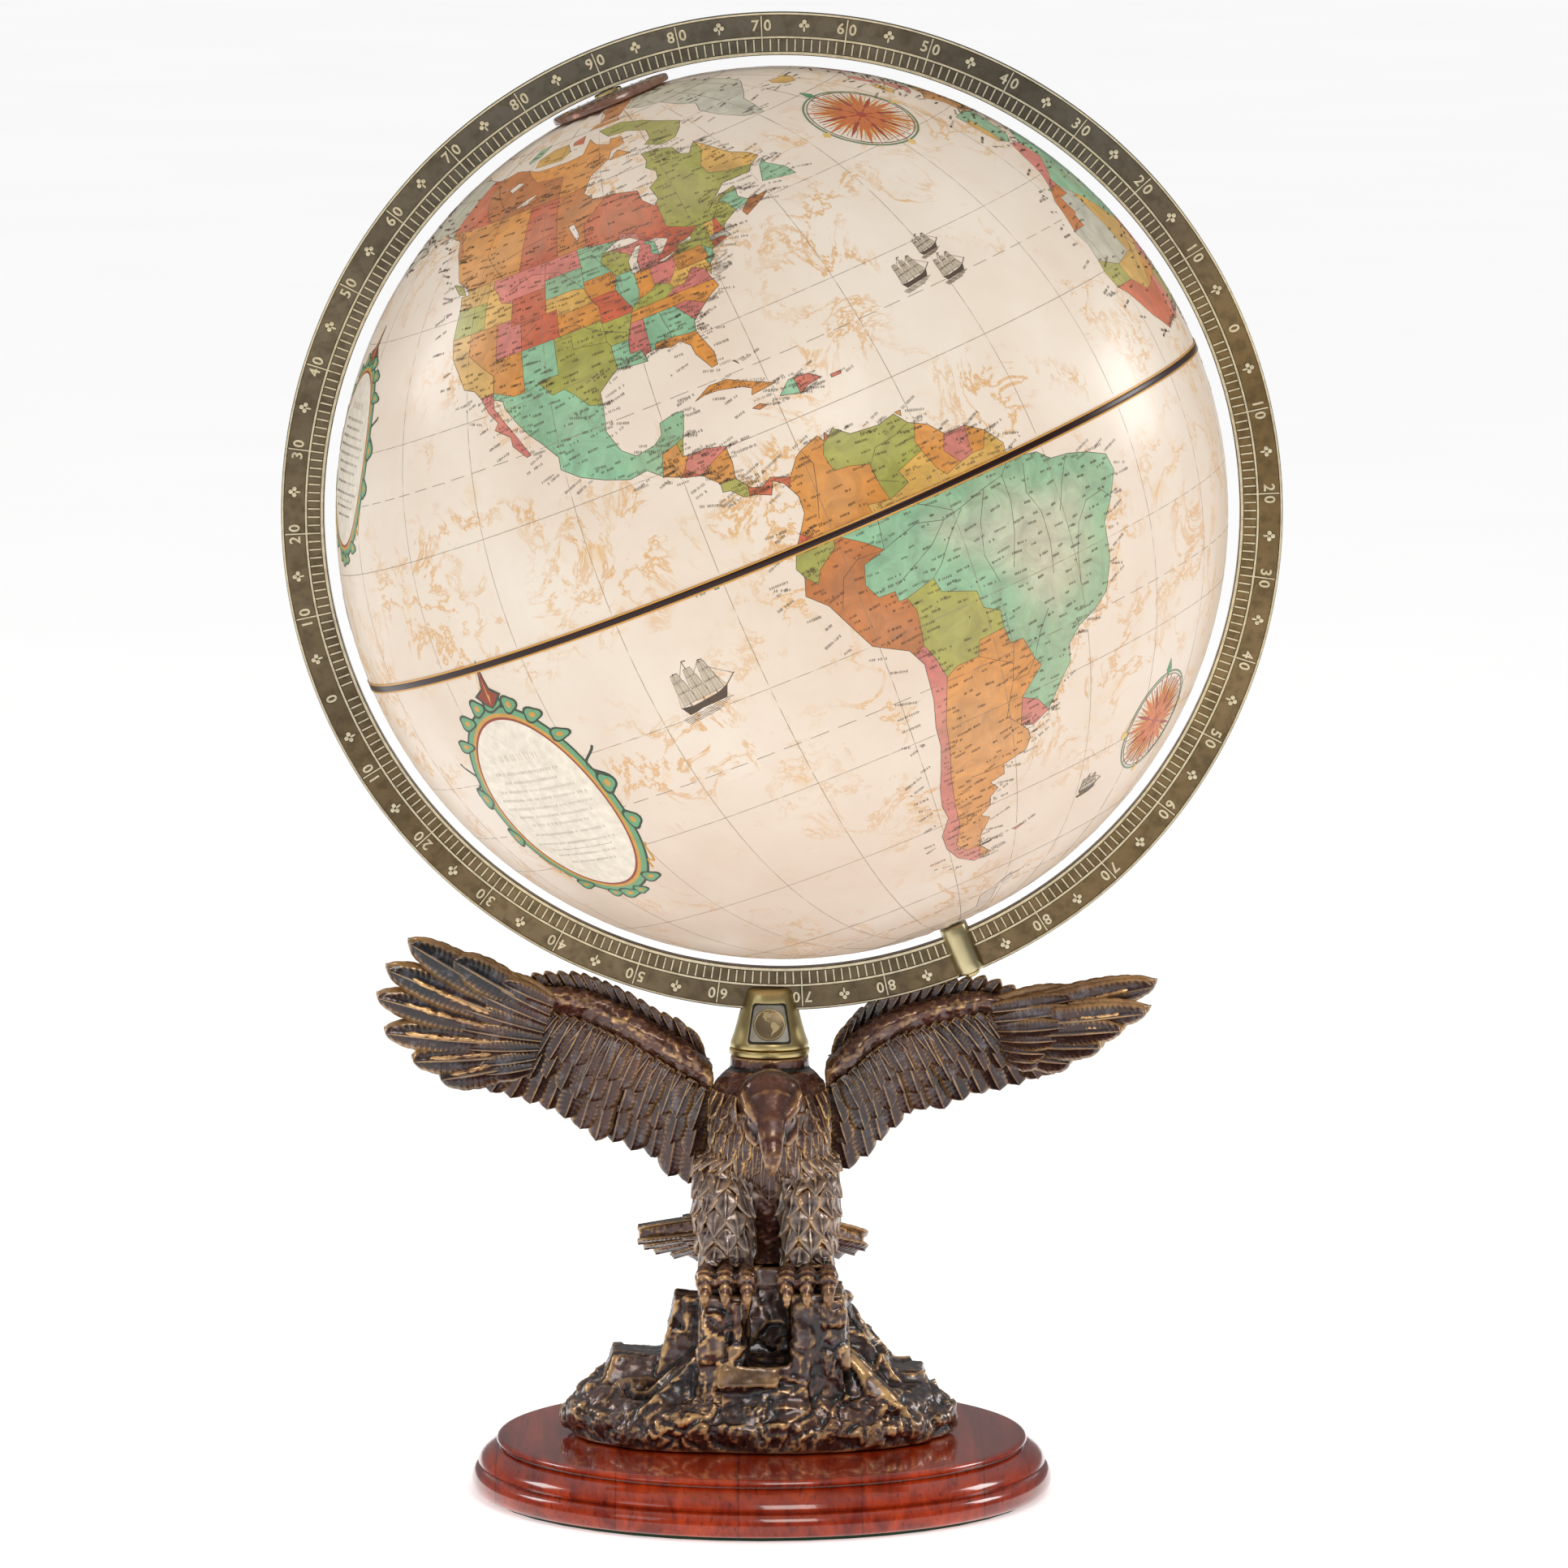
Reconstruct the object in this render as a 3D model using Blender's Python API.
"""Desktop globe in a graduated full meridian ring, held over a plinth by a spread-winged eagle casting.

The frame is in metres with +Z up, and its origin is on the table under the centre of the meridian ring.
The front of the eagle faces -Y. Sizes below are in millimetres and are turned into metres as meshes are made.
The globe's own pieces are built along the polar axis and tilted into place by their parent empties.
"""

import math

import bmesh
import bpy
from mathutils import Vector

MM = 0.001
GAP = 0.3                      # air left between pieces that touch in the real object

# Globe and ring, from which the rest follows
BALL_R = 152.4                 # a 12 inch ball
SHELL = 2.0
BALL_Z = 338.5
POLE_TILT = math.radians(-22.4)
RING_IN = 156.4
RING_OUT = 171.0
RING_HALF = 3.0
BALL_SEGMENTS = 44
RING_SEGMENTS = 72
PLINTH_SEGMENTS = 40

# Poles: heights are measured from the ball's centre along the polar axis
POLE_HOLE_R = 4.5
PIN_R = 1.3
PIN_HOLE_R = PIN_R + GAP
PIN_INNER = 145.5
DIAL_R = 21.0
DIAL_TOP = 154.6
CLIP_HALF_W = 5.0
CLIP_HALF_D = 7.4
CLIP_END = 170.6

# Stand
AXIS_X = -4.3                  # the tie rod, neck and collar stand a little left of the ring's centre
PLINTH_X = -7.0
PLINTH_TOP = 20.0
FELT_T = 1.2
ROCK_BOTTOM = PLINTH_TOP + GAP
NECK_R = 13.6
NECK_TOP = 151.7
COLLAR_BOTTOM = 152.0
BAND_H = 2.2
COLLAR_TOP = 175.0
COLLAR_R_LOW = 13.5
COLLAR_R_TOP = 8.0
SLOT_HALF = RING_HALF + GAP
SLOT_R = RING_OUT + 0.6
ROD_R = 3.0
ROD_HOLE_R = ROD_R + GAP
SPIGOT_R = 9.5
WING_PIN_R = 2.0
WING_PIN_Z = 137.5
WING_FACE = 19.5               # distance of each wing's root face from the tie rod's axis

MATERIALS = {                  # colour, metallic, roughness
    "cherry_wood": ((0.30, 0.055, 0.022), 0.0, 0.25),
    "green_felt": ((0.03, 0.10, 0.05), 0.0, 0.95),
    "bronze_resin": ((0.085, 0.048, 0.032), 0.5, 0.45),
    "antique_brass": ((0.42, 0.34, 0.20), 1.0, 0.38),
    "bright_brass": ((0.70, 0.58, 0.34), 1.0, 0.25),
    "steel": ((0.55, 0.55, 0.56), 1.0, 0.35),
    "nylon": ((0.85, 0.84, 0.80), 0.0, 0.5),
    "copper": ((0.72, 0.36, 0.22), 1.0, 0.3),
    "smoked_acrylic": ((0.32, 0.17, 0.10), 0.0, 0.1),
    "parchment_map": ((0.86, 0.76, 0.60), 0.0, 0.3),
    "fibreboard": ((0.45, 0.36, 0.25), 0.0, 0.8),
    "black_gold_tape": ((0.06, 0.03, 0.01), 0.0, 0.35),
}


def clear_scene():
    for obj in list(bpy.data.objects):
        bpy.data.objects.remove(obj, do_unlink=True)


def material(name):
    found = bpy.data.materials.get(name)
    if found:
        return found
    colour, metallic, roughness = MATERIALS[name]
    made = bpy.data.materials.new(name)
    made.use_nodes = True
    shader = made.node_tree.nodes["Principled BSDF"]
    shader.inputs["Base Color"].default_value = (*colour, 1.0)
    shader.inputs["Metallic"].default_value = metallic
    shader.inputs["Roughness"].default_value = roughness
    return made


def new_object(name, bm, mat, parent=None):
    """One object from a bmesh in millimetres, its faces turned outwards and round stretches shaded smooth."""
    bmesh.ops.recalc_face_normals(bm, faces=bm.faces)
    bmesh.ops.scale(bm, vec=(MM, MM, MM), verts=bm.verts)
    mesh = bpy.data.meshes.new(name)
    bm.to_mesh(mesh)
    bm.free()
    mesh.shade_smooth()
    mesh.set_sharp_from_angle(angle=math.radians(35))
    mesh.materials.append(material(mat))
    obj = bpy.data.objects.new(name, mesh)
    bpy.context.scene.collection.objects.link(obj)
    obj.parent = parent
    return obj


def empty(name, location, parent=None, tilt=0.0):
    obj = bpy.data.objects.new(name, None)
    obj.location = Vector(location) * MM
    obj.rotation_euler = (0.0, tilt, 0.0)
    obj.parent = parent
    bpy.context.scene.collection.objects.link(obj)
    return obj


def loft(name, loops, mat, parent=None):
    """A solid skinned over loops of equally many points, closed by a cap at each end."""
    bm = bmesh.new()
    rings = [[bm.verts.new(point) for point in loop] for loop in loops]
    count = len(rings[0])
    for low, high in zip(rings, rings[1:]):
        for i in range(count):
            j = (i + 1) % count
            bm.faces.new((low[i], low[j], high[j], high[i]))
    bm.faces.new(rings[0])
    bm.faces.new(rings[-1])
    bmesh.ops.triangulate(bm, faces=[f for f in bm.faces if len(f.verts) > 4])
    return new_object(name, bm, mat, parent)


def turned(name, profile, mat, segments=24, centre=(0, 0, 0), parent=None, axis="Z", flip=False, phase=0.0):
    """A solid turned round an axis from (radius, height) points.

    A profile whose ends have radius 0 is closed on the axis; any other profile is a closed ring section.
    The phase, in steps, turns the facets so that a cutter's corners miss the seams of what it cuts.
    """
    bm = bmesh.new()
    solid = profile[0][0] == 0 and profile[-1][0] == 0

    def point(radius, height, angle):
        x, y = radius * math.cos(angle), radius * math.sin(angle)
        if flip:
            y, height = -y, -height
        local = (x, y, height) if axis == "Z" else (x, -height, y)
        return Vector(local) + Vector(centre)

    columns = []
    for radius, height in profile:
        if radius == 0:
            columns.append([bm.verts.new(point(0, height, 0))] * segments)
        else:
            angles = [math.tau * (i + phase) / segments for i in range(segments)]
            columns.append([bm.verts.new(point(radius, height, angle)) for angle in angles])
    pairs = list(zip(columns, columns[1:]))
    if not solid:
        pairs.append((columns[-1], columns[0]))
    for low, high in pairs:
        for i in range(segments):
            j = (i + 1) % segments
            corners = list(dict.fromkeys((low[i], low[j], high[j], high[i])))
            if len(corners) > 2:
                bm.faces.new(corners)
    return new_object(name, bm, mat, parent)


def ring(name, r_in, r_out, low, high, mat, **place):
    return turned(name, [(r_in, low), (r_out, low), (r_out, high), (r_in, high)], mat, **place)


def cylinder(name, radius, low, high, mat, **place):
    return turned(name, [(0, low), (radius, low), (radius, high), (0, high)], mat, **place)


def drill(name, radius, low, high, segments=16, **place):
    return cylinder(name, radius, low, high, "steel", segments=segments, phase=0.37, **place)


def box(name, low, high, mat, parent=None):
    (x0, y0, z0), (x1, y1, z1) = low, high
    loops = [[(x0, y0, z), (x1, y0, z), (x1, y1, z), (x0, y1, z)] for z in (z0, z1)]
    return loft(name, loops, mat, parent)


def hull(name, points, mat):
    """The convex block that spans these points."""
    bm = bmesh.new()
    for point in points:
        bm.verts.new(point)
    made = bmesh.ops.convex_hull(bm, input=bm.verts)
    inside = [g for g in made["geom_interior"] if isinstance(g, bmesh.types.BMVert)]
    bmesh.ops.delete(bm, geom=inside, context="VERTS")
    bmesh.ops.triangulate(bm, faces=bm.faces)
    return new_object(name, bm, mat)


def tube(name, stations, mat, sides=12):
    """A solid along stations of (centre, half width, half depth), with oval sections square to its path."""
    centres = [Vector(s[0]) for s in stations]
    loops = []
    for i, (centre, wide, deep) in enumerate(stations):
        along = (centres[min(i + 1, len(centres) - 1)] - centres[max(i - 1, 0)]).normalized()
        side = (Vector((1, 0, 0)) - along * along.x).normalized()
        front = along.cross(side)
        angles = [math.tau * k / sides for k in range(sides)]
        loops.append([centres[i] + side * wide * math.cos(a) + front * deep * math.sin(a) for a in angles])
    return loft(name, loops, mat)


def combine(obj, others, operation, solver="EXACT"):
    """Joins or cuts obj with each of the others, which stay behind as hidden helpers."""
    for other in others:
        modifier = obj.modifiers.new(other.name, "BOOLEAN")
        modifier.operation = operation
        modifier.solver = solver
        modifier.object = other
        other.hide_render = True
        other.display_type = "WIRE"
    return obj


# ---------------------------------------------------------------- plinth and fasteners

def plinth():
    profile = [
        (0, 1.5), (97.5, 1.5), (99.3, 2.3), (100, 4.5), (100, 6.8), (99.4, 8.6), (98.4, 9.5),
        (97.6, 9.6), (97.8, 10.4), (97.5, 12.0), (96.0, 14.0), (93.8, 15.6), (92.0, 16.6),
        (91.0, 17.2), (91.3, 18.2), (91.0, 19.3), (90.2, PLINTH_TOP), (0, PLINTH_TOP),
    ]
    body = turned("wood_plinth", profile, "cherry_wood", PLINTH_SEGMENTS, (PLINTH_X, 0, 0))
    cuts = [
        drill("cut_plinth_bore", ROD_HOLE_R, -5, 30, centre=(AXIS_X, 0, 0)),
        drill("cut_nut_recess", 10.0, -6, 10, 20, centre=(AXIS_X, 0, 0)),
    ]
    for side, x in screw_places():
        cuts.append(drill(f"cut_screw_{side}", 2.1, -7, 40, 12, centre=(x, 0, 0)))
        cuts.append(drill(f"cut_screw_head_{side}", 3.9, -8, 6.5, 16, centre=(x, 0, 0)))
    combine(body, cuts, "DIFFERENCE")
    cylinder("felt_pad", 95.0, 0, FELT_T, "green_felt", segments=PLINTH_SEGMENTS, centre=(PLINTH_X, 0, 0))


def screw_places():
    return [("left", AXIS_X - 36), ("right", AXIS_X + 30)]


def fasteners():
    place = {"centre": (AXIS_X, 0, 0)}
    cylinder("tie_rod", ROD_R, 2.5, 157.6, "steel", segments=16, **place)
    ring("tie_washer", ROD_HOLE_R, 8.5, 8.3, 9.7, "steel", segments=20, **place)
    nut = cylinder("tie_nut", 5.8, 3.0, 8.0, "steel", segments=6, **place)
    combine(nut, [drill("cut_nut_bore", ROD_HOLE_R, 0, 12, **place)], "DIFFERENCE")
    for side, x in screw_places():
        profile = [(0, 3.2), (3.4, 3.2), (3.6, 4.0), (1.8, 6.2), (1.8, 29.0), (0, 31.5)]
        turned(f"plinth_screw_{side}", profile, "steel", 12, (x, 0, 0))


# ---------------------------------------------------------------- rock

def rock_slab():
    """The low, lobed slab that the rest of the rock stands on."""
    centre_x, centre_y, half_x, half_y, sides = -7.7, -1.5, 67.0, 45.0, 28
    levels = [(ROCK_BOTTOM, 0.975), (24.0, 0.995), (30.0, 0.985), (35.0, 0.93), (38.0, 0.85)]
    loops = []
    for height, scale in levels:
        loop = []
        for k in range(sides):
            a = math.tau * k / sides
            lobe = 1.0 + 0.022 * math.sin(5 * a + 0.6) + 0.014 * math.sin(9 * a + 2.0)
            rise = 1.2 * math.sin(4 * a + 1.0) if height > 33 else 0.0
            x = centre_x + half_x * scale * lobe * math.cos(a)
            y = centre_y + half_y * scale * lobe * math.sin(a)
            loop.append((x, y, height + rise))
        loops.append(loop)
    return loft("rock_base", loops, "bronze_resin")


def wedge(name, bottom, top, z0, z1):
    """A block between a bottom and a top rectangle, each given as (x0, x1, y0, y1)."""
    corners = []
    for (x0, x1, y0, y1), z in ((bottom, z0), (top, z1)):
        corners += [(x0, y0, z), (x1, y0, z), (x1, y1, z), (x0, y1, z)]
    return hull(name, corners, "bronze_resin")


def rock():
    slab = rock_slab()
    blocks = [
        wedge("rock_talus", (-50, 42, -36, 34), (-30, 24, -30, 26), 33, 51),
        wedge("rock_core", (-34, 26, -22, 30), (-15, 7, -10, 15), 40, 79.6),
        wedge("rock_pillar_left", (-29, -12, -38, -4), (-28, -12.8, -37.5, -6), 36, 74.0),
        wedge("rock_pillar_right", (3.4, 22.5, -38, -4), (3.1, 21.0, -37.5, -6), 36, 74.4),
        wedge("rock_ledge", (-22, 6, -41, -24), (-19, 2.5, -38.8, -24), 36, 50),
        wedge("rock_slab_left", (-45, -24, -14, 16), (-37, -26, -12, 10), 34, 68.5),
        wedge("rock_slab_right", (12, 44, -10, 22), (12, 22.5, -6, 16), 34, 66),
        wedge("rock_mound_left", (-64, -36, -16, 22), (-58, -41, -8, 15), 32, 48.5),
        wedge("rock_mound_right", (30, 55, -14, 20), (38, 49, -4, 14), 30, 43),
        wedge("rock_mound_back", (-30, 18, 14, 41), (-20, 8, 16, 33), 30, 58),
        wedge("rock_foot_left", (-71, -52, -18, 10), (-67, -56, -12, 4), 28, 38),
    ]
    combine(slab, blocks, "UNION")
    cuts = [drill("cut_rock_bore", ROD_HOLE_R, 0, 100, centre=(AXIS_X, 0, 0))]
    for side, x in screw_places():
        cuts.append(drill(f"cut_rock_screw_{side}", 2.1, 1, 32, 12, centre=(x, 0, 0)))
    combine(slab, cuts, "DIFFERENCE")


# ---------------------------------------------------------------- eagle

def oval_stack(name, levels, sides=20):
    """A solid of level ovals, each (height, centre x, centre y, half width, half depth)."""
    angles = [math.tau * k / sides for k in range(sides)]
    loops = [
        [(cx + rx * math.cos(a), cy + ry * math.sin(a), z) for a in angles]
        for z, cx, cy, rx, ry in levels
    ]
    return loft(name, loops, "bronze_resin")


def thigh(side, centre_x, lean):
    """A feathered thigh, its shin, and three toes whose claws hang over the pillar's front edge."""
    levels = [
        (117, centre_x - 2.0 * lean, -11, 8.0, 9.0), (109, centre_x - 0.8 * lean, -14, 9.3, 12.0),
        (99, centre_x, -16.5, 9.6, 12.6), (90, centre_x + 0.3 * lean, -19, 8.7, 11.0),
        (82, centre_x + 0.3 * lean, -22, 7.2, 8.6), (75.2, centre_x + 0.2 * lean, -24, 7.4, 9.0),
    ]
    parts = [oval_stack(f"thigh_{side}", levels, 16)]
    for k, spread in enumerate((-7.0, 0.0, 7.3)):
        x = centre_x + spread
        stations = [
            ((centre_x + 0.5 * spread, -25, 79.0), 3.2, 3.6), ((x, -34, 79.2), 3.3, 3.5),
            ((x, -38.8, 78.2), 3.1, 3.2), ((x, -41.2, 75.4), 2.2, 1.9), ((x, -41.8, 71.6), 0.7, 0.7),
        ]
        parts.append(tube(f"toe_{side}_{k}", stations, "bronze_resin", 8))
    return parts


def torso():
    """Body, head, beak, thighs and feet in one casting, with the neck socket that carries the collar."""
    x = AXIS_X
    body = oval_stack("eagle_body", [
        (80.0, x, 3, 13, 12), (88, x, 3, 17, 17), (100, x, 1, 20.5, 21), (114, x, -3, 22.5, 22.5),
        (126, x, -6, 22.5, 22), (136, x, -6, 21.8, 19), (143, x, -5, 19.0, 15), (147, x, -4, 15.5, 11),
    ])
    parts = [
        cylinder("neck_socket", NECK_R, 110, NECK_TOP, "bronze_resin", segments=24, centre=(x, 0, 0)),
        tube("neck", [
            ((x, -10, 124), 15, 13), ((x, -20, 136), 13.5, 11.5), ((x + 0.4, -29, 141), 11.2, 10.2),
            ((x + 0.8, -37, 138), 9.2, 8.8), ((x + 0.8, -42.5, 132.5), 6.4, 6.0),
        ], "bronze_resin", 14),
        tube("beak", [
            ((x + 0.8, -39, 135), 5.6, 5.6), ((x + 0.8, -44.5, 129.5), 4.8, 4.6),
            ((x + 0.9, -47.5, 124.5), 3.2, 3.2), ((x + 1.0, -47.8, 119.4), 0.8, 0.8),
        ], "bronze_resin", 10),
    ]
    parts += thigh("left", -19.3, 1)
    parts += thigh("right", 8.5, -1)
    combine(body, parts, "UNION")
    face = WING_FACE - GAP
    cuts = [
        drill("cut_body_bore", ROD_HOLE_R, 60, 165, centre=(x, 0, 0)),
        drill("cut_spigot_seat", SPIGOT_R + GAP, 145.7, 160, 24, centre=(x, 0, 0)),
        box("cut_shoulder_left", (x - 40, -60, 118), (x - face, 60, 170), "steel"),
        box("cut_shoulder_right", (x + face, -60, 118), (x + 40, 60, 170), "steel"),
        box("cut_flank_left", (x - 41, -1.5, 104), (x - face, 60, 119), "steel"),
        box("cut_flank_right", (x + face, -1.5, 104), (x + 41, 60, 119), "steel"),
        wing_pin("cut_pin_left", -1, WING_PIN_R + GAP, 2.0),
        wing_pin("cut_pin_right", 1, WING_PIN_R + GAP, 2.0),
        *tail_fan("cut_tail_seat", GAP),
    ]
    combine(body, cuts, "DIFFERENCE")


def wing_pin(name, side, radius, longer=0.0):
    """A dowel through a shoulder joint, lying along X, on the left (-1) or right (1)."""
    inner, outer = 12.0 - longer, 27.0 + longer
    loops = []
    for distance in (inner, outer):
        x = AXIS_X + side * distance
        angles = [math.tau * k / 12 for k in range(12)]
        loops.append([(x, radius * math.cos(a), WING_PIN_Z + radius * math.sin(a)) for a in angles])
    return loft(name, loops, "steel")


def wing_plate(name, stations):
    """The feathered plate of a wing: a thick rounded arm on top, thinning to the feather tips below."""
    leads = [Vector(s[0]) for s in stations]
    loops = []
    for i, (lead, trail, arm) in enumerate(stations):
        along = leads[min(i + 1, len(leads) - 1)] - leads[max(i - 1, 0)]
        chord = Vector(trail) - Vector(lead)
        front = chord.cross(along).normalized()
        if front.y > 0:
            front.negate()
        if i == 0:
            front = Vector((0, front.y, front.z)).normalized()
        edge = 1.3
        lead, trail = Vector(lead), Vector(trail)
        loops.append([
            lead, lead + chord * 0.07 + front * arm * 0.85, lead + chord * 0.2 + front * arm,
            lead + chord * 0.42 + front * arm * 0.55, trail + front * edge, trail - front * edge,
            lead + chord * 0.42 - front * arm * 0.55, lead + chord * 0.2 - front * arm,
            lead + chord * 0.07 - front * arm * 0.8,
        ])
    return loft(name, loops, "bronze_resin")


def finger(name, base, tip, width):
    """One primary feather as a tapered blade that curls a little forward to its tip."""
    base, tip = Vector(base), Vector(tip)
    along = (tip - base).normalized()
    flat = along.cross(Vector((0, 1, 0))).normalized()
    front = flat.cross(along).normalized()
    loops = []
    steps = ((0, 0.75, 1.9), (0.35, 1.0, 1.8), (0.75, 0.85, 1.4), (0.95, 0.5, 1.1), (1, 0.2, 0.8))
    for share, wide, thick in steps:
        centre = base.lerp(tip, share) + front * 2.0 * math.sin(math.pi * share)
        side, depth, edge = flat * width * wide, front * thick, front * 0.6
        loops.append([
            centre - side + edge, centre - side - edge, centre - depth,
            centre + side - edge, centre + side + edge, centre + depth,
        ])
    return loft(name, loops, "bronze_resin")


def wing_left():
    root = AXIS_X - WING_FACE
    stations = [
        ((root, -3, 148.5), (root, 6, 108.5), 6.0), ((-32.7, -5, 156.6), (-34.0, 8, 111.5), 5.8),
        ((-42.2, -4, 161.8), (-43.5, 10, 117.6), 5.4), ((-51.9, -3, 167.5), (-54.0, 11, 123.4), 5.0),
        ((-60.0, -2, 171.5), (-63.5, 11, 125.4), 4.6), ((-68.1, -2, 174.6), (-72.5, 10, 130.6), 4.3),
        ((-77.8, -4, 176.0), (-82.2, 8, 136.6), 4.0), ((-87.1, -7, 175.3), (-92.0, 4, 140.6), 3.6),
        ((-95.5, -9, 173.0), (-101.6, -3, 143.8), 2.8),
    ]
    tips = [
        (-112.6, -20, 188.0), (-127.2, -22, 194.0), (-135.0, -20, 184.8), (-138.4, -17, 174.7),
        (-136.0, -14, 162.1), (-126.7, -11, 151.9), (-117.5, -8, 145.2),
    ]
    wing("left", stations, tips, (-86.0, -8, 169.0), (-92.0, -3, 148.0), -1)


def wing_right():
    root = AXIS_X + WING_FACE
    stations = [
        ((root, -3, 150.0), (root, 6, 110.5), 6.0), ((21.8, -5, 156.6), (24.5, 7, 116.4), 5.8),
        ((29.6, -4, 163.4), (32.5, 9, 123.4), 5.4), ((37.9, -3, 167.3), (40.5, 10, 131.6), 5.0),
        ((46.3, -2, 170.0), (49.0, 10, 134.4), 4.7), ((56.0, -2, 172.4), (59.5, 9, 136.8), 4.4),
        ((67.1, -3, 174.1), (70.0, 8, 140.6), 4.0), ((78.2, -5, 171.9), (80.5, 6, 143.4), 3.5),
        ((88.0, -7, 170.0), (90.0, 2, 147.0), 2.8),
    ]
    tips = [
        (127.4, -25, 180.0), (124.5, -34, 172.0), (116.5, -30, 165.5),
        (109.5, -22, 158.5), (99.5, -10, 151.4),
    ]
    wing("right", stations, tips, (82.0, -6, 167.0), (86.0, -1, 151.0), 1)


def wing(side, stations, tips, first, last, sign):
    """A wing's plate joined to its fan of primaries, and bored for the shoulder dowel."""
    plate = wing_plate(f"eagle_wing_{side}", stations)
    first, last = Vector(first), Vector(last)
    blades = []
    for k, tip in enumerate(tips):
        base = first.lerp(last, k / (len(tips) - 1))
        blades.append(finger(f"finger_{side}_{k}", base, tip, 6.6))
    combine(plate, blades, "UNION", "MANIFOLD")
    combine(plate, [wing_pin(f"cut_wing_pin_{side}", sign, WING_PIN_R + GAP, 2.0)], "DIFFERENCE", "MANIFOLD")
    wing_pin(f"wing_pin_{side}", sign, WING_PIN_R)


def tail_fan(name, grow=0.0):
    """The plate of tail feathers, spread backwards and down from the rump; grow widens it for use as a cutter."""
    root = Vector((AXIS_X, 12, 93))
    rim = [
        (-50, 28, 84.5), (-44, 40, 79), (-30, 50, 75), (-12, 56, 73), (6, 54, 73.5), (20, 48, 76), (29, 38, 80.5),
    ]
    left, right = Vector((-15.5, 10, 93)), Vector((8, 10, 92.5))
    top, bottom = Vector((0, 0, 2.4 + grow)), Vector((0, 0, -2.4 - grow))
    outline = [left + Vector((-grow, -grow, 0)), *[Vector(p) for p in rim], right + Vector((grow, -grow, 0))]
    loops = [[p + bottom for p in outline], [p + top for p in outline]]
    bm = bmesh.new()
    low = [bm.verts.new(p) for p in loops[0]]
    high = [bm.verts.new(p) for p in loops[1]]
    hub_low, hub_high = bm.verts.new(root + bottom), bm.verts.new(root + top)
    count = len(outline)
    for i in range(count):
        j = (i + 1) % count
        bm.faces.new((low[i], low[j], high[j], high[i]))
        bm.faces.new((low[j], low[i], hub_low))
        bm.faces.new((high[i], high[j], hub_high))
    return [new_object(name, bm, "bronze_resin")]


# ---------------------------------------------------------------- collar

def window_loop(z, half_width, y_in, y_out):
    return [(AXIS_X - half_width, y_in, z), (AXIS_X + half_width, y_in, z),
            (AXIS_X + half_width, y_out, z), (AXIS_X - half_width, y_out, z)]


def emblem(side, sign):
    """A plate in the collar's window with a raised globe disc, in front (sign -1) or behind (sign 1)."""
    levels = ((157.0, 7.2, 10.2), (169.9, 5.6, 7.1))
    loops = [window_loop(z, w, sign * y, sign * (y + 0.9)) for z, w, y in levels]
    plate = loft(f"emblem_{side}", loops, "antique_brass")
    steps = []
    for k in range(24):
        a = math.tau * k / 24
        x, z = 5.4 * math.cos(a), 163.2 + 5.4 * math.sin(a)
        steps.append((AXIS_X + x, sign * (10.2 - (z - 157.0) * 0.24), z))
    loops = [[Vector(p) + Vector((0, sign * d, 0)) for p in steps] for d in (0.2, 1.7)]
    disc = loft(f"emblem_disc_{side}", loops, "antique_brass")
    combine(plate, [disc], "UNION")


def collar():
    low = COLLAR_BOTTOM + BAND_H + GAP
    place = {"centre": (AXIS_X, 0, 0)}
    profile = [
        (0, 146.3), (SPIGOT_R, 146.3), (SPIGOT_R, low), (COLLAR_R_LOW, low), (COLLAR_R_LOW - 0.25, low + 2),
        (COLLAR_R_TOP + 0.2, COLLAR_TOP - 0.9), (COLLAR_R_TOP - 0.5, COLLAR_TOP), (0, COLLAR_TOP),
    ]
    body = turned("collar", profile, "bright_brass", 32, (AXIS_X, 0, 0))
    cuts = [
        drill("cut_ring_slot", SLOT_R, -SLOT_HALF, SLOT_HALF, 180, centre=(0, 0, BALL_Z), axis="Y"),
        drill("cut_shoe_pocket", 5.0, 158.4, 169, 20, **place),
        drill("cut_collar_bore", ROD_HOLE_R, 140, 159, **place),
    ]
    for side, sign in (("front", -1), ("back", 1)):
        levels = ((156.5, 7.8, 9.9), (170.4, 6.1, 6.7))
        loops = [window_loop(z, w, sign * y, sign * 20) for z, w, y in levels]
        cuts.append(loft(f"cut_window_{side}", loops, "steel"))
        emblem(side, sign)
    combine(body, cuts, "DIFFERENCE")
    band = (SPIGOT_R + GAP, NECK_R, COLLAR_BOTTOM, COLLAR_BOTTOM + BAND_H)
    ring("collar_band", *band, "bright_brass", segments=32, **place)
    shoe = cylinder("friction_shoe", 4.7, 162.8, 169, "nylon", segments=20, **place)
    saddle = drill("cut_shoe_saddle", SLOT_R, -30, 30, 180, centre=(0, 0, BALL_Z), axis="Y")
    combine(shoe, [saddle], "DIFFERENCE")
    shoe_spring()


def shoe_spring():
    """The coil that pushes the shoe up against the ring's rim."""
    turns, per_turn, wire, mean = 2.0, 12, 0.4, 4.0
    low, high = 158.4 + GAP + wire, 162.8 - GAP - wire
    count = int(turns * per_turn)
    loops = []
    for i in range(count + 1):
        a = math.tau * i / per_turn
        z = low + (high - low) * i / count
        loops.append([
            ((AXIS_X + (mean + wire * math.cos(b)) * math.cos(a)), (mean + wire * math.cos(b)) * math.sin(a),
             z + wire * math.sin(b))
            for b in (math.tau * k / 5 for k in range(5))
        ])
    loft("shoe_spring", loops, "steel")


# ---------------------------------------------------------------- ring, poles and ball

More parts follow.
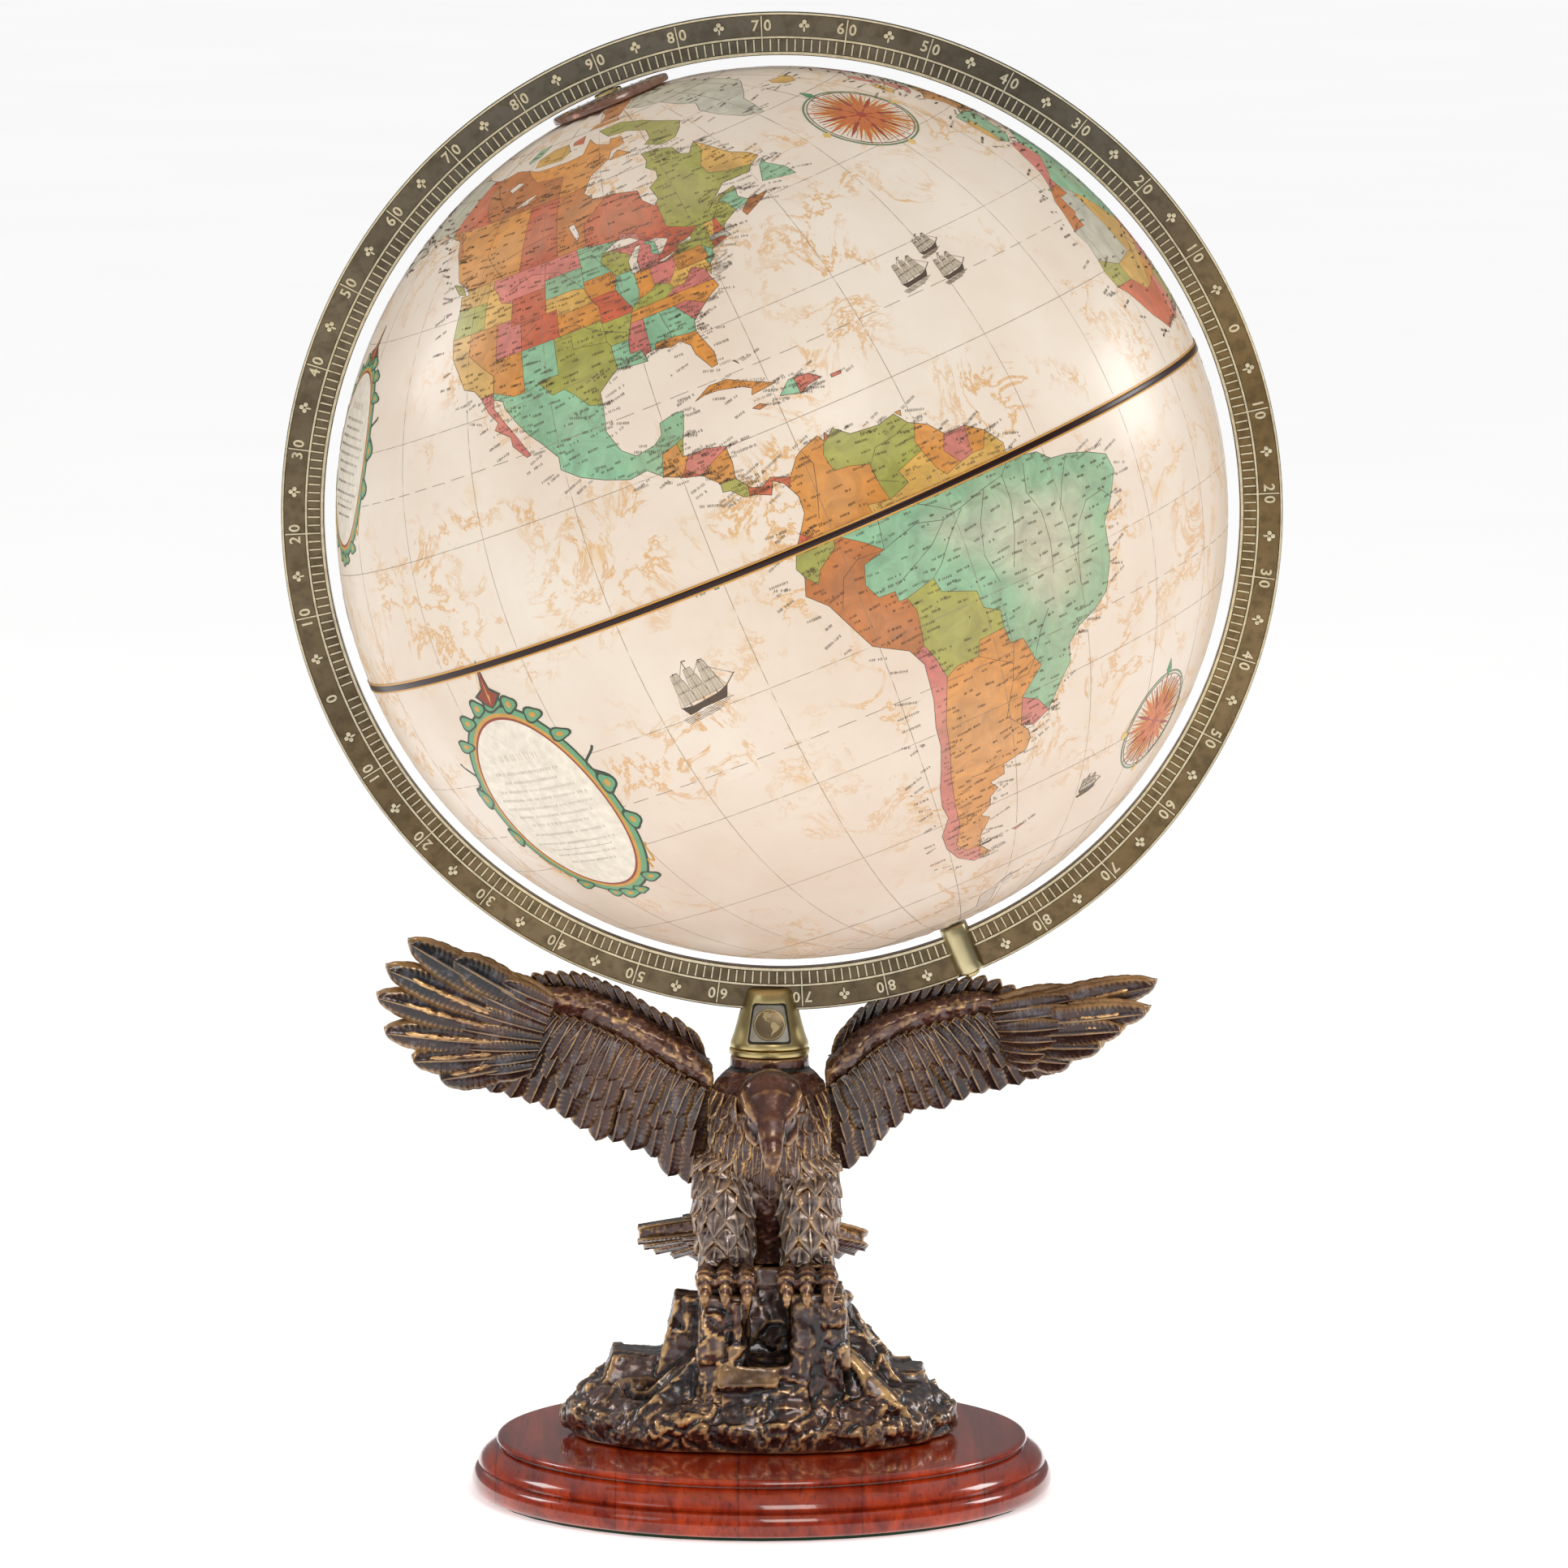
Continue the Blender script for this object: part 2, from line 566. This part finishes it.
def meridian(parent):
    """The graduated ring with its pole hardware, built in the polar frame: the north pole is up its Z axis."""
    chamfer = 0.5
    profile = [
        (RING_IN + chamfer, -RING_HALF), (RING_OUT - chamfer, -RING_HALF), (RING_OUT, -RING_HALF + chamfer),
        (RING_OUT, RING_HALF - chamfer), (RING_OUT - chamfer, RING_HALF), (RING_IN + chamfer, RING_HALF),
        (RING_IN, RING_HALF - chamfer), (RING_IN, -RING_HALF + chamfer),
    ]
    body = turned("meridian_ring", profile, "antique_brass", RING_SEGMENTS, parent=parent, axis="Y")
    combine(body, [
        drill("cut_pole_north", PIN_HOLE_R, 150, 182, 12, parent=parent),
        drill("cut_pole_south", PIN_HOLE_R, 150, 182, 12, parent=parent, flip=True),
        drill("cut_pole_head", 2.4, 168.7, 180, 14, parent=parent),
    ], "DIFFERENCE")

    oval = [math.tau * k / 24 for k in range(24)]
    loops = [
        [(CLIP_HALF_W * s * math.cos(a), CLIP_HALF_D * s * math.sin(a), -h) for a in oval]
        for h, s in ((153.3, 0.97), (157.0, 1.0), (169.8, 1.04), (CLIP_END, 0.98))
    ]
    clip = loft("south_clip", loops, "bright_brass", parent)
    combine(clip, [
        box("cut_clip_slot", (-20, -SLOT_HALF, -190), (20, SLOT_HALF, -RING_IN + GAP), "steel", parent),
        drill("cut_clip_bore", PIN_HOLE_R, 150, 180, 12, parent=parent, flip=True),
    ], "DIFFERENCE")

    south = [
        (0, PIN_INNER), (PIN_R, PIN_INNER), (PIN_R, 171.3), (2.7, 171.3), (2.5, 172.1), (1.4, 172.6), (0, 172.6),
    ]
    turned("south_pin", south, "steel", 12, parent=parent, flip=True)
    ring("south_thrust_washer", PIN_HOLE_R, 3.4, 152.6, 153.0, "nylon", segments=16, parent=parent, flip=True)
    north = [(0, PIN_INNER), (PIN_R, PIN_INNER), (PIN_R, 168.9), (2.1, 169.1), (2.1, 170.4), (0, 170.6)]
    turned("north_pin", north, "steel", 12, parent=parent)
    ring("north_spacer", PIN_HOLE_R, 4.4, 154.9, 156.1, "bright_brass", segments=16, parent=parent)
    ring("dial_washer", PIN_HOLE_R, 4.4, 152.6, 153.0, "copper", segments=20, parent=parent)


def time_dial(parent):
    """The smoked hour dial: a shallow dish over the pole whose rim follows the ball."""
    profile = [
        (PIN_HOLE_R, 153.3), (18.0, 153.1), (18.7, 151.7), (DIAL_R, 151.6), (DIAL_R, 153.7),
        (DIAL_R - 0.7, 154.3), (PIN_HOLE_R, DIAL_TOP),
    ]
    turned("time_dial", profile, "smoked_acrylic", 36, parent=parent)


def hemisphere(name, parent, flip):
    steps = 8
    start_out, start_in = math.asin(POLE_HOLE_R / BALL_R), math.asin(POLE_HOLE_R / (BALL_R - SHELL))
    end_out = math.acos(GAP / 2 / BALL_R)
    end_in = math.acos(GAP / 2 / (BALL_R - SHELL))

    def arc(radius, start, end):
        angles = [start + (end - start) * k / steps for k in range(steps + 1)]
        return [(radius * math.sin(a), radius * math.cos(a)) for a in angles]

    profile = arc(BALL_R, start_out, end_out) + arc(BALL_R - SHELL, start_in, end_in)[::-1]
    return turned(name, profile, "parchment_map", BALL_SEGMENTS, parent=parent, flip=flip)


def globe(parent):
    hemisphere("hemisphere_north", parent, False)
    hemisphere("hemisphere_south", parent, True)
    belt = {"segments": BALL_SEGMENTS, "parent": parent}
    ring("equator_tape", BALL_R + GAP, BALL_R + 0.8, -1.4, 1.4, "black_gold_tape", **belt)
    ring("equator_joint_band", 148.0, 149.8, -6, 6, "fibreboard", **belt)
    grommet = [(PIN_HOLE_R, 148.3), (7.0, 148.3), (7.0, 149.7), (4.2, 149.7), (4.2, 152.3), (PIN_HOLE_R, 152.3)]
    turned("north_grommet", grommet, "bright_brass", 20, parent=parent)
    turned("south_grommet", grommet, "bright_brass", 20, parent=parent, flip=True)


def main():
    clear_scene()
    plinth()
    fasteners()
    rock()
    torso()
    wing_left()
    wing_right()
    tail_fan("eagle_tail")
    collar()
    meridian_axis = empty("meridian_turn_axis", (0, 0, BALL_Z), tilt=POLE_TILT)
    meridian(meridian_axis)
    globe(empty("globe_spin_axis", (0, 0, 0), meridian_axis))
    time_dial(empty("time_dial_axis", (0, 0, 0), meridian_axis))


main()
